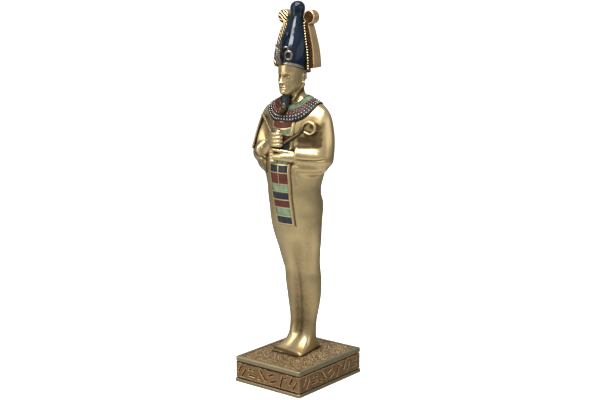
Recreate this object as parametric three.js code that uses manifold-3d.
// A statuette of Osiris, wrapped in a shroud and standing on an oblong plinth.
// Millimetres, +Z up. The origin is the middle of the plinth's underside, and the figure faces -Y.
// Two castings: the plinth, and the figure with everything that it wears and holds.
import * as THREE from "three";
import { LoftGeometry } from "three/addons/geometries/LoftGeometry.js";
import { mergeVertices } from "three/addons/utils/BufferGeometryUtils.js";
import Module from "manifold-3d";

// Plinth
const plinthWidth = 66;
const plinthDepth = 81;
const plinthHeight = 21;
const cornerRadius = 1.2;
const topSlab = 3.9;
const footSlab = 2.9;
const slabEdge = 0.5;
const grooveHeight = 0.7;
const grooveDepth = 1.3;
const plinthTaper = 0.5;
const borderWidth = 3.2;
const fieldSink = 0.3;

// The plinth's band: a row of shallow strokes in groups that read as no letters
const strokePitch = 10.4;
const strokeDepth = 0.7;
const strokeMargin = 1.6;

// The figure stands off the plinth's middle, towards its own right
const figureX = -5;
const figureHeight = 279.3;

// The carving is drawn in figure units on a figure this high from sole to crown, with its chin at this height. For
// another chin height the body below stretches, and the head and crown keep their size.
const drawnHeight = 279.3;
const drawnChin = 208.7;

// Shroud and body
const bodySides = 24;
const bodyRings = 27;
const legValleyWidth = 3.6;
const swellWidth = 13;
const swellEdge = 3;
const toeHeight = 2.6;

// Arms: the sleeves, and what shows bare of the forearms
const upperArmRadius = 9;
const elbowRadius = 8.7;
const cuffRadius = 7.6;
const wristRadius = 4.4;
const fingerRadius = 1.65;
const fingerPitch = 3;

// Head
const chinHeight = 208.7;
const unit = figureHeight / (drawnHeight - drawnChin + chinHeight);
const headHeight = 27.5;
const noseReach = 2.7;
const earHeight = 6.6;

// Crown and its feathers
const knobRadius = 5.8;
const browBandHeight = 1.5;
const browBandProud = 0.6;
const curlRadius = 5.3;
const curlX = 12.6;
const curlHeight = 267.2;
const featherFoot = 227.6;
const featherBack = 9.6;
const featherSlant = 1.8;
const barbCount = 15;
const barbProud = 0.5;
const barbSlant = 5;

// Broad collar: each row's reach from the root of the neck, and how far it stands proud
const neckRoot = new THREE.Vector3(0, 2, 208);
const collarRows = [
  [11.2, 1.2],
  [15, 1.6],
  [18.4, 1.2],
  [22.4, 1.4],
  [22.9, 1.9],
  [24.5, 1.6],
];
const shoulderThinning = 0.6;
const frontReach = 0.14;
const lowestCollar = 172;
const hiddenStep = 1;

// Sash down the front: its rails and bars, and the sunken cell of each colour
const sashHalfWidth = 10.3;
const sashRail = 1.7;
const sashTop = 188.4;
const sashProud = 1.1;
const cellSink = 0.6;
const barHeight = 0.9;
const cellHeights = [4.7, 3.4, 3.6, 6.2, 6.3, 3.4, 5.5, 8.2, 5.2, 5.6, 5.6, 6.2, 5.6];

// Crook and flail
const rodRadius = 1.15;
const hookRadius = 4.7;
const strandCount = 3;
const strandRadius = 0.95;

const wasm = await Module();
wasm.setup();

// A closed geometry as a solid
function solid(geometry) {
  const bare = new THREE.BufferGeometry();
  bare.setAttribute("position", geometry.getAttribute("position"));
  bare.setIndex(geometry.index);
  const merged = mergeVertices(bare, 1e-4);
  const corners = merged.index.array;
  const kept = [];
  for (let i = 0; i < corners.length; i += 3) {
    const [a, b, c] = [corners[i], corners[i + 1], corners[i + 2]];
    if (a !== b && b !== c && c !== a) kept.push(a, b, c);
  }
  return new wasm.Manifold(
    new wasm.Mesh({
      numProp: 3,
      vertProperties: merged.attributes.position.array,
      triVerts: new Uint32Array(kept),
    }),
  );
}

// A solid's surface as a geometry
function surface(made) {
  const mesh = made.getMesh();
  const geometry = new THREE.BufferGeometry();
  geometry.setAttribute("position", new THREE.BufferAttribute(mesh.vertProperties, 3));
  geometry.setIndex(new THREE.BufferAttribute(mesh.triVerts, 1));
  geometry.computeVertexNormals();
  return geometry;
}

const joined = (solids) => solids.reduce((whole, next) => whole.add(next));

// Rows of numbers read as one smooth curve, with t from 0 to 1 over the whole table
function along(rows, t) {
  const place = t * (rows.length - 1);
  const index = Math.min(Math.floor(place), rows.length - 2);
  const f = place - index;
  const row = (i) => rows[Math.min(Math.max(i, 0), rows.length - 1)];
  return rows[0].map((_, k) => {
    const [a, b, c, d] = [row(index - 1)[k], row(index)[k], row(index + 1)[k], row(index + 2)[k]];
    const bend = 2 * a - 5 * b + 4 * c - d + f * (3 * b - a - 3 * c + d);
    return b + (f / 2) * (c - a + f * bend);
  });
}

// The same power of a sine or cosine with its sign kept, which squares an oval
const squared = (value, square) => Math.sign(value) * Math.abs(value) ** (2 / square);

const bump = (distance, width) => Math.exp(-((distance / width) ** 2));

// A geometry drawn in figure units as a solid of the real size
function carved(geometry) {
  const place = geometry.getAttribute("position");
  for (let i = 0; i < place.count; i++) {
    const z = place.getZ(i);
    place.setZ(i, z < drawnChin ? (z * chinHeight) / drawnChin : z + chinHeight - drawnChin);
  }
  return solid(geometry.scale(unit, unit, unit));
}

// A closed skin over rings of points
const loft = (rings) => carved(new LoftGeometry(rings, { capStart: true, capEnd: true }));

const acrossX = new THREE.Vector3(1, 0, 0);
const acrossY = new THREE.Vector3(0, 1, 0);

// A tube of oval rings through the points of a path, each [x, y, z, half width, half depth]. The depth is
// measured along the sideways direction, which the path never follows.
function limb(path, sides, steps, sideways = acrossY) {
  const rings = [];
  for (let i = 0; i <= steps; i++) {
    const t = i / steps;
    const [x, y, z, wide, high] = along(path, t);
    const before = along(path, Math.max(t - 0.01, 0));
    const after = along(path, Math.min(t + 0.01, 1));
    const ahead = new THREE.Vector3(...[0, 1, 2].map((k) => after[k] - before[k])).normalize();
    const side = new THREE.Vector3().crossVectors(sideways, ahead).normalize();
    const up = new THREE.Vector3().crossVectors(ahead, side);
    rings.push(
      Array.from({ length: sides }, (_, k) => {
        const turn = (2 * Math.PI * k) / sides;
        return new THREE.Vector3(x, y, z)
          .addScaledVector(side, wide * Math.cos(turn))
          .addScaledVector(up, high * Math.sin(turn));
      }),
    );
  }
  return loft(rings);
}

// An ellipsoid by its middle and its half axes
function ellipsoid(middle, axes, across = 14, down = 10) {
  const ball = new THREE.SphereGeometry(1, across, down).rotateX(Math.PI / 2);
  return carved(ball.scale(...axes).translate(...middle));
}

// Plinth: one profile of insets carried round an oblong with rounded corners
function plinthRing(z, inset) {
  const points = [];
  const radius = Math.max(cornerRadius - inset, cornerRadius / 3);
  const cornerSteps = 3;
  const reachX = plinthWidth / 2 - inset - radius;
  const reachY = plinthDepth / 2 - inset - radius;
  [[1, 1], [-1, 1], [-1, -1], [1, -1]].forEach(([sideX, sideY], corner) => {
    for (let i = 0; i <= cornerSteps; i++) {
      const turn = ((corner + i / cornerSteps) * Math.PI) / 2;
      const x = sideX * reachX + radius * Math.cos(turn);
      const y = sideY * reachY + radius * Math.sin(turn);
      points.push(new THREE.Vector3(x, y, z));
    }
  });
  return points;
}

const bandFoot = footSlab + grooveHeight;
const bandTop = plinthHeight - topSlab - grooveHeight;
const bandInset = plinthTaper / 2;

function plinthBlock() {
  const profile = [
    [0, slabEdge],
    [slabEdge, 0],
    [footSlab - slabEdge, 0],
    [footSlab, slabEdge],
    [footSlab, grooveDepth],
    [bandFoot, grooveDepth],
    [bandFoot, bandInset],
    [bandTop, bandInset],
    [bandTop, grooveDepth],
    [bandTop + grooveHeight, grooveDepth],
    [bandTop + grooveHeight, plinthTaper + slabEdge],
    [bandTop + grooveHeight + slabEdge, plinthTaper],
    [plinthHeight - slabEdge, plinthTaper],
    [plinthHeight, plinthTaper + slabEdge],
  ];
  const fieldInset = plinthTaper + borderWidth;
  const field = [
    [plinthHeight - fieldSink, fieldInset + fieldSink],
    [plinthHeight + fieldSink, fieldInset - fieldSink],
  ];
  const [block, hollow] = [profile, field].map((rows) => {
    const rings = rows.map(([z, inset]) => plinthRing(z, inset));
    return solid(new LoftGeometry(rings, { capStart: true, capEnd: true }));
  });
  return block.subtract(hollow);
}

// The strokes of one group, each [middle across, middle up, length, lean]: shares of its cell, and radians from
// upright
const level = Math.PI / 2;
const strokeGroups = [
  [[-0.22, 0.16, 0.6, 0.55], [0.2, -0.14, 0.68, 0.55]],
  [[-0.24, 0.26, 0.14, level], [0.24, 0.26, 0.14, level], [0, -0.22, 0.6, level]],
  [[-0.3, -0.3, 0.16, level], [0.12, 0.04, 0.9, -0.7]],
  [[-0.16, 0.24, 0.5, level - 0.35], [0.12, -0.24, 0.56, level - 0.35]],
  [[0.28, 0.3, 0.16, level], [-0.12, -0.06, 0.86, 0.3]],
];

// Each stroke is a groove of V section, cut by a square rod laid edge on in the band's face
function strokeCutters(faceWidth, faceReach, turnAbout) {
  const cellWidth = strokePitch - 2 * strokeDepth;
  const cellHeight = bandTop - bandFoot - 2 * strokeMargin;
  const middleZ = (bandTop + bandFoot) / 2;
  const count = Math.floor((faceWidth - 2 * strokeMargin) / strokePitch);
  const cutters = [];
  for (let i = 0; i < count; i++) {
    const middleX = (i - (count - 1) / 2) * strokePitch;
    for (const [across, upward, length, lean] of strokeGroups[i % strokeGroups.length]) {
      const rod = new THREE.CylinderGeometry(strokeDepth, strokeDepth, length * cellHeight, 4);
      rod.rotateX(Math.PI / 2).rotateY(lean);
      rod.translate(middleX + across * cellWidth, -faceReach, middleZ + upward * cellHeight);
      cutters.push(solid(rod.rotateZ(turnAbout)));
    }
  }
  return cutters;
}

function plinth() {
  const bandX = plinthWidth / 2 - bandInset;
  const bandY = plinthDepth / 2 - bandInset;
  const cutters = [0, 1, 2, 3].flatMap((side) => {
    const alongX = side % 2 === 0;
    const faceWidth = 2 * (alongX ? bandX : bandY);
    return strokeCutters(faceWidth, alongX ? bandY : bandX, (side * Math.PI) / 2);
  });
  return plinthBlock().subtract(joined(cutters));
}

// The shroud from the soles to the top of the neck: [height, middle y, half width, half depth, square, valley between
// the legs, swell of the front's middle]
const bodyRows = [
  [0, 6.3, 12.9, 18, 8, 0.5, 0],
  [toeHeight, 6.4, 12.7, 17.5, 6.5, 0.9, 0],
  [5, 8.4, 12.3, 14.4, 3.8, 1.6, 0],
  [8.5, 10, 11.9, 11, 2.7, 2.2, 0],
  [12.5, 11.3, 12.1, 8.2, 2.3, 2.8, 0],
  [18.7, 12, 12.2, 6.9, 2.2, 3, 0],
  [25.4, 12.6, 12.5, 7.1, 2.2, 3.2, 0],
  [32.1, 13.1, 13.5, 7.8, 2.2, 3.6, 0],
  [38.7, 13.3, 14.7, 8.5, 2.2, 4, 0],
  [45.4, 13.4, 15.6, 9, 2.2, 4, 0],
  [52, 12.9, 16.3, 9.3, 2.2, 3.8, 0],
  [58.6, 12.3, 16.7, 9.4, 2.2, 3.2, 0],
  [65.2, 11.6, 16.7, 9.2, 2.2, 2.4, 0],
  [71.8, 9.6, 17.4, 9.4, 2.2, 1.5, 0],
  [78.4, 8.2, 18.6, 9.5, 2.2, 0.9, 0],
  [85, 6.8, 20.1, 9.7, 2.1, 0.5, 0],
  [91.4, 5.6, 21.6, 10.5, 2.1, 0.2, 0],
  [98, 4.4, 22.6, 11.8, 2.1, 0, 0],
  [104.4, 3.6, 23.2, 12.9, 2.1, 0, 0],
  [111, 3.2, 23.5, 14.3, 2.1, 0, 0],
  [117.4, 3.3, 24, 15, 2.1, 0, 1.4],
  [123.8, 2.7, 24.1, 16, 2.1, 0, 1.5],
  [130.2, 1, 23.5, 15.6, 2.1, 0, 1.8],
  [136.6, 0.7, 23.6, 16.1, 2.1, 0, 1.7],
  [143, 1, 25, 17.4, 2.1, 0, 1.5],
  [149.4, 1, 26.6, 18.2, 2.1, 0, 1.6],
  [157, 1, 25.5, 16.8, 2.1, 0, 2.4],
  [168, 1.4, 24, 15.4, 2.2, 0, 3.2],
  [178, 1.9, 25, 14.2, 2.3, 0, 4.3],
  [186, 2.6, 28, 13, 2.3, 0, 4.8],
  [193.6, 3.9, 30.8, 12.2, 2.2, 0, 3.5],
  [199.8, 5, 24.6, 10.9, 2.1, 0, 1.5],
  [203, 5.2, 17.8, 9.8, 2, 0, 0.3],
  [206, 3.9, 11.4, 8.7, 2, 0, 0],
  [208.5, 2, 8, 7.8, 2, 0, 0],
  [213, 0.6, 7.5, 7.5, 2, 0, 0],
  [218, 0.4, 7.6, 7.6, 2, 0, 0],
];

// One ring of the body: an oval, narrower towards the heels low down, with a valley between the legs
function bodyRing(t, grow) {
  return Array.from({ length: bodySides }, (_, k) => bodyPoint(t, (2 * Math.PI * k) / bodySides, grow));
}

function bodyPoint(t, turn, grow) {
  const [z, y, wide, deep, square, valley, swell] = along(bodyRows, t);
  const heelTaper = 0.24 * bump(z, 6);
  const across = squared(Math.cos(turn), square) * (wide + grow);
  const forward = squared(Math.sin(turn), square) * (deep + grow);
  const front = Math.sin(turn) < 0 ? 1 : 0.35;
  const narrowed = across * (1 - (heelTaper * forward) / deep);
  const dip = -Math.sign(forward) * front * valley * bump(across, legValleyWidth);
  const swollen = swell * bump(across, swellWidth) * THREE.MathUtils.clamp(-swellEdge * Math.sin(turn), 0, 1);
  return new THREE.Vector3(narrowed, y + forward + dip - swollen, z);
}

function body() {
  return loft(Array.from({ length: bodyRings + 1 }, (_, i) => bodyRing(i / bodyRings, 0)));
}

// Where a measure that grows or falls steadily along the body reaches a value
function tableShare(measure, value, from = 0, to = 1) {
  const rising = measure(to) > measure(from);
  let [low, high] = [from, to];
  for (let i = 0; i < 24; i++) {
    const middle = (low + high) / 2;
    if (measure(middle) < value === rising) low = middle;
    else high = middle;
  }
  return (low + high) / 2;
}

// The body's front at a place across and up
function bodyFront(x, z) {
  const t = tableShare((share) => along(bodyRows, share)[0], z);
  const [, y, wide, deep, square, , swell] = along(bodyRows, t);
  const oval = (1 - Math.min(Math.abs(x / wide), 1) ** square) ** (1 / square);
  return y - deep * oval - swell * bump(x, swellWidth);
}

// Sleeves run from the shoulder round the elbow to the cuff, and a roll of cloth hangs under each
function sleeve(side, elbowZ, cuff, rollZ) {
  const elbow = [side * 29.6, -1.3, elbowZ];
  const upperArm = limb(
    [
      [side * 19, 4.4, 197.5, 4.5, 4.5],
      [side * 23.4, 3.9, 191.5, upperArmRadius - 1, upperArmRadius - 1],
      [side * 26.2, 2.8, 181, upperArmRadius, upperArmRadius],
      [side * 28.6, 0.8, 171, upperArmRadius, upperArmRadius],
      [...elbow, elbowRadius, elbowRadius],
    ],
    10,
    6,
  );
  const middle = [0, 1, 2].map((k) => (elbow[k] + cuff[k]) / 2);
  const forearm = limb(
    [
      [...elbow, elbowRadius - 0.2, elbowRadius - 0.2],
      [...middle, elbowRadius - 0.4, elbowRadius - 0.4],
      [...cuff, cuffRadius, cuffRadius],
    ],
    12,
    3,
  );
  const roll = limb(
    [
      [side * 30.4, -0.6, rollZ + 5.4, 4, 2.6],
      [side * 28.4, -1.4, rollZ + 2.4, 7, 6],
      [side * 23.4, -4.6, rollZ + 0.8, 8.2, 7],
      [side * 15, -9, rollZ + 0.4, 7.6, 7],
      [side * 6, -11.4, rollZ - 0.4, 5.4, 5],
    ],
    9,
    6,
  );
  return [upperArm, ellipsoid(elbow, [1, 1, 1].map(() => elbowRadius), 10, 8), forearm, roll];
}

const arms = () => [
  ...sleeve(1, 160.4, [11.2, -13.4, 163.3], 153.4),
  ...sleeve(-1, 159.6, [-20.5, -9.6, 163], 153),
];

// The left fist lies below with its back to the front, the right one above with its fingers to the front
function hands() {
  const finger = (x, y, z, length) => {
    const rod = new THREE.CapsuleGeometry(fingerRadius, length, 2, 6).rotateZ(Math.PI / 2);
    return carved(rod.translate(x, y, z));
  };
  const rightForearm = limb(
    [
      [-22, -9, 162.5, wristRadius + 1, wristRadius + 0.8],
      [-14, -13.5, 167, wristRadius + 0.5, wristRadius + 0.3],
      [-6.4, -17, 172, wristRadius, wristRadius],
      [-0.6, -18.8, 174.8, wristRadius, wristRadius + 1.4],
    ],
    10,
    6,
  );
  const leftForearm = limb(
    [
      [14, -12.8, 161.5, wristRadius + 0.6, wristRadius + 1],
      [8.6, -16.6, 161.8, wristRadius, wristRadius + 0.8],
      [2.4, -19.4, 162.6, wristRadius - 0.6, wristRadius + 1],
      [-4, -19.4, 162.6, 3, wristRadius + 0.6],
    ],
    10,
    6,
  );
  const fingers = [0, 1, 2, 3].flatMap((k) => [
    finger(-0.2, -22, 179 - k * fingerPitch, 6.6),
    finger(-4, -20.8, 166.8 - k * (fingerPitch - 0.15), 4.4),
  ]);
  return [rightForearm, leftForearm, ...fingers];
}

// The head: [height, middle y, half width, depth in front, depth behind], from under the chin to inside the crown
const headRows = [
  [-1, -8.6, 2.2, 2.6, 2.2],
  [0, -8.2, 4, 5, 4],
  [1.8, -6, 5.7, 8.2, 5.8],
  [4.6, -3.4, 7.3, 10.9, 7],
  [8, -1.8, 8.5, 12.3, 9.4],
  [12, -0.8, 9.1, 13, 11],
  [16, -0.6, 9.4, 13.5, 12.2],
  [20, -0.4, 9.6, 13.6, 13],
  [24, -0.3, 9.6, 13.3, 13],
  [27, -0.3, 9, 12.5, 12],
];

// How far the face stands out of the head's oval, from its features' usual places on a head
function faceRelief(x, z) {
  const up = (z - drawnChin) / headHeight;
  const side = Math.abs(x);
  const noseRise = THREE.MathUtils.clamp((0.62 - up) / 0.28, 0, 1);
  const noseFoot = THREE.MathUtils.smoothstep(up, 0.25, 0.33);
  const nose = noseReach * noseFoot * (0.25 + 0.75 * noseRise) * bump(x, 1.1 + 0.9 * noseRise);
  const bridge = up < 0.62 ? 1 : bump(up - 0.62, 0.05);
  const socket = 1.2 * bump(side - 3.8, 2.1) * bump(up - 0.51, 0.055);
  const eye = 0.8 * bump(side - 3.9, 1.6) * bump(up - 0.5, 0.032);
  const brow = 0.5 * bump(side - 3.6, 3) * bump(up - 0.585, 0.028);
  const lips = 0.9 * bump(x, 2.5) * bump(up - 0.185, 0.045);
  const chin = 0.7 * bump(x, 2.6) * bump(up - 0.05, 0.05);
  return nose * bridge - socket + eye + brow + lips + chin;
}

function head() {
  const sides = 24;
  const rings = 17;
  const sections = [];
  for (let i = 0; i <= rings; i++) {
    const [up, y, wide, front, back] = along(headRows, i / rings);
    const z = drawnChin + up;
    sections.push(
      Array.from({ length: sides }, (_, k) => {
        const even = (2 * Math.PI * k) / sides;
        const turn = even + 0.3 * Math.cos(even);
        const x = squared(Math.cos(turn), 2.15) * wide;
        const ahead = Math.sin(turn) < 0;
        const depth = squared(Math.sin(turn), 2.15) * (ahead ? front : back);
        const face = ahead ? faceRelief(x, z) * THREE.MathUtils.smoothstep(-Math.sin(turn), 0.2, 0.7) : 0;
        return new THREE.Vector3(x, y + depth - face, z);
      }),
    );
  }
  const skull = loft(sections);
  const ears = [1, -1].map((side) =>
    ellipsoid([side * 8.9, 0.6, drawnChin + 11.5], [1.5, 2, earHeight / 2], 8, 6),
  );
  return [skull, ...ears];
}

// The plaited beard hangs from the chin and its end turns forward
function beard() {
  return limb(
    [
      [0, -8.8, 209.5, 2.6, 2.8],
      [0, -9.2, 204.5, 2.9, 3.1],
      [0, -11.2, 199.8, 2.9, 3.2],
      [0, -14, 196.6, 2.6, 2.8],
      [0, -16.4, 196.6, 1.6, 1.8],
      [0, -17.2, 198, 0.6, 0.6],
    ],
    8,
    9,
    acrossX,
  );
}

// The crown: [height, middle y, half width, half depth, lift], where lift raises the front and lowers the nape
const crownRows = [
  [228.2, -0.6, 11.8, 14.6, 4.3],
  [232, -0.2, 12.4, 14.5, 4],
  [238, 0.6, 12.6, 13.8, 3],
  [245, 1.6, 12.1, 12.6, 1.4],
  [251, 2.3, 10.8, 11, 0.5],
  [256, 2.9, 9.2, 9.4, 0],
  [261, 3.5, 7.5, 7.6, 0],
  [266, 4.2, 6.2, 6.2, 0],
  [270, 4.7, 5.4, 5.4, 0],
  [273.5, 5, knobRadius, knobRadius, 0],
  [276.6, 5.1, knobRadius * 0.88, knobRadius * 0.88, 0],
  [278.7, 5.2, knobRadius * 0.5, knobRadius * 0.5, 0],
  [279.3, 5.2, 0.5, 0.5, 0],
];

function crownLoft(rows, grow, sides, rings) {
  const sections = [];
  for (let i = 0; i <= rings; i++) {
    const [z, y, wide, deep, lift] = along(rows, i / rings);
    sections.push(
      Array.from({ length: sides }, (_, k) => {
        const turn = (2 * Math.PI * k) / sides;
        const x = (wide + grow) * Math.cos(turn);
        return new THREE.Vector3(x, y + (deep + grow) * Math.sin(turn), z - lift * Math.sin(turn));
      }),
    );
  }
  return loft(sections);
}

function crown() {
  const [rimZ, ...rim] = crownRows[0];
  const bandRows = [
    [rimZ - 0.3, ...rim],
    [rimZ - 0.3 + browBandHeight, ...rim],
  ];
  return [crownLoft(crownRows, 0, 16, 14), crownLoft(bandRows, browBandProud, 16, 1)];
}

// A feather's plate beside the crown: [share of the way up to its curl, inner x, outer x, front y]
const featherRows = [
  [0, 10.6, 20.2, -1.1],
  [0.06, 10.6, 20, -0.9],
  [0.24, 10.2, 18.8, -0.2],
  [0.39, 9.4, 17.3, 0.4],
  [0.54, 8.2, 15.5, 1],
  [0.69, 7, 13.8, 1.6],
  [0.84, 5.4, 12.4, 2.2],
  [0.98, 4.6, 11.6, 2.8],
];

// The plate is ridged by its barbs, which slant outward and up across its front and its outer edge
function feather(side) {
  const sections = [];
  const steps = 2 * barbCount;
  for (let i = 0; i <= steps; i++) {
    const t = i / steps;
    const [share, inner, outer, front] = along(featherRows, t);
    const z = featherFoot + share * (curlHeight - featherFoot);
    const rise = featherSlant + (barbSlant - featherSlant) * THREE.MathUtils.smoothstep(t, 0, 0.3);
    const drop = barbSlant * THREE.MathUtils.smoothstep(t, 0.6, 1);
    const proud = i % 2 === 0 ? 0 : barbProud;
    const spine = inner + 0.3 * (outer - inner);
    const corners = [
      [inner, front, 0],
      [spine, front, 0],
      [outer + proud, front - proud, rise],
      [outer + barbProud, front + 1, rise],
      [outer + barbProud, featherBack, rise],
      [inner, featherBack, 0],
    ];
    const ring = corners.map(([x, y, up]) => new THREE.Vector3(side * x, y, z + up - drop));
    sections.push(side > 0 ? ring : ring.reverse());
  }
  const curlFront = along(featherRows, 1)[3];
  const curlDepth = featherBack - curlFront;
  const roll = new THREE.CylinderGeometry(curlRadius, curlRadius, curlDepth, 14);
  roll.translate(side * curlX, curlFront + curlDepth / 2, curlHeight);
  const boss = new THREE.CylinderGeometry(curlRadius * 0.42, curlRadius * 0.5, 0.8, 8);
  boss.translate(side * curlX, curlFront - 0.4, curlHeight);
  return [loft(sections), carved(roll), carved(boss)];
}

// The cobra rears on the crown's front between two coils, and its tail climbs the crown
function cobra() {
  const neck = limb(
    [
      [0, -13.6, 232.5, 1.6, 1.6],
      [0, -17, 234.6, 2.3, 1.7],
      [0, -18.2, 239, 3, 1.4],
      [0, -17.4, 243, 2.5, 1.4],
      [0, -17.6, 246, 1.4, 1.3],
      [0, -19.6, 247, 0.8, 0.8],
    ],
    8,
    8,
    acrossX,
  );
  const coils = [1, -1].map((side) => {
    const ring = new THREE.TorusGeometry(1.7, 0.8, 5, 8).rotateX(Math.PI / 2 - 0.15);
    ring.rotateZ(side * 0.32).translate(side * 4.3, -13.4, 238.4);
    return carved(ring);
  });
  const tail = limb(
    [
      [0, -13.4, 240, 1, 1.2],
      [0.2, -11.2, 246, 1, 1.2],
      [-0.4, -8.6, 251, 0.9, 1.1],
      [0.2, -6.2, 256, 0.6, 0.8],
    ],
    6,
    6,
    acrossX,
  );
  return [neck, ...coils, tail];
}

// The collar drapes over the shoulders: each row lies on the body at its reach from the neck's root
function collar() {
  const from = tableShare((share) => along(bodyRows, share)[0], lowestCollar);
  const onBody = (turn, reach, proud) => {
    const distance = (share) => bodyPoint(share, turn, 0).distanceTo(neckRoot);
    return bodyPoint(tableShare(distance, reach, from, 0.96), turn, proud);
  };
  const [first, last] = [collarRows[0], collarRows.at(-1)];
  const under = -2;
  const rows = [[last[0] + hiddenStep, under], ...[...collarRows].reverse(), [first[0] - hiddenStep, under]];
  const sides = 32;
  return loft(
    rows.map(([reach, proud]) =>
      Array.from({ length: sides }, (_, k) => {
        const turn = (2 * Math.PI * k) / sides;
        const thinned = proud > 0 ? proud * (1 - shoulderThinning * Math.cos(turn) ** 2) : proud;
        const lower = 1 + frontReach * Math.max(-Math.sin(turn), 0) ** 2;
        return onBody(turn, reach * lower, thinned);
      }),
    ),
  );
}

// The sash: a strip with side rails and bars, and a sunken cell for each colour
function sash() {
  const inner = sashHalfWidth - sashRail;
  const backSet = 3;
  const ring = (z, middleProud) => {
    const front = [
      [-sashHalfWidth, -1],
      [-sashHalfWidth, sashProud],
      [-inner, sashProud],
      [-inner, middleProud],
      [0, middleProud],
      [inner, middleProud],
      [inner, sashProud],
      [sashHalfWidth, sashProud],
      [sashHalfWidth, -1],
    ].map(([x, proud]) => new THREE.Vector3(x, bodyFront(x, z) - proud, z));
    const back = [inner, -inner].map((x) => new THREE.Vector3(x, bodyFront(x, z) + backSet, z));
    return [...front, ...back];
  };
  const floorProud = sashProud - cellSink;
  const rings = [ring(sashTop, sashProud)];
  let level = sashTop - barHeight;
  for (const height of cellHeights) {
    rings.push(ring(level, sashProud), ring(level, floorProud));
    rings.push(ring(level - height, floorProud), ring(level - height, sashProud));
    level -= height + barHeight;
  }
  rings.push(ring(level, sashProud));
  return loft(rings.reverse());
}

// The crook's staff rises from the fists to a hook that curls back to it
function crook() {
  const hook = [2.6, 1.6, 0.6, -0.4, -1.4, -2.4].map((turn) => [
    22.2 + 1.15 * hookRadius * Math.cos(turn),
    -9.3 + 0.2 * hookRadius * Math.cos(turn),
    184 + hookRadius * Math.sin(turn),
    rodRadius,
    rodRadius,
  ]);
  return limb(
    [
      [-0.4, -21.6, 167, rodRadius, rodRadius],
      [3.4, -20.4, 170.2, rodRadius, rodRadius],
      [10.6, -15, 176, rodRadius, rodRadius],
      [15.4, -11.6, 180.4, rodRadius, rodRadius],
      ...hook,
    ],
    6,
    20,
  );
}

// The flail's handle rises to the right shoulder, and its strands hang down the outside of the arm
function flail() {
  const handle = limb(
    [
      [1, -21, 174, rodRadius, rodRadius],
      [-9, -17.4, 180, rodRadius, rodRadius],
      [-18, -11.6, 186, rodRadius, rodRadius],
      [-25.6, -7, 190.6, rodRadius, rodRadius],
    ],
    6,
    4,
  );
  const strands = Array.from({ length: strandCount }, (_, k) => {
    const place = k - (strandCount - 1) / 2;
    const radius = strandRadius;
    return limb(
      [
        [-25.6, -7, 190.6, radius, radius],
        [-29.6 + 0.3 * place, -5.2 - 1.5 * place, 183, radius, radius],
        [-32.4 + 0.4 * place, -6.6 - 1.6 * place, 173, radius, radius],
        [-34 + 0.5 * place, -8.4 - 1.7 * place, 163.5, radius * 1.2, radius * 1.2],
      ],
      5,
      5,
    );
  });
  return [handle, ...strands];
}

function figure() {
  return joined([
    body(),
    ...arms(),
    ...hands(),
    ...head(),
    beard(),
    ...crown(),
    ...feather(1),
    ...feather(-1),
    ...cobra(),
    collar(),
    sash(),
    crook(),
    ...flail(),
  ]);
}

// The statuette
const statuette = new THREE.Group();
statuette.name = "statuette";

const plinthMesh = new THREE.Mesh(
  surface(plinth()),
  new THREE.MeshStandardMaterial({ color: 0x8a6a3c, roughness: 0.5, metalness: 0.8 }),
);
plinthMesh.name = "plinth";
statuette.add(plinthMesh);

const figureMesh = new THREE.Mesh(
  surface(figure()),
  new THREE.MeshStandardMaterial({ color: 0xb59a62, roughness: 0.38, metalness: 0.85 }),
);
figureMesh.name = "osiris_figure";
figureMesh.position.set(figureX, 0, plinthHeight - fieldSink);
statuette.add(figureMesh);

export default statuette;
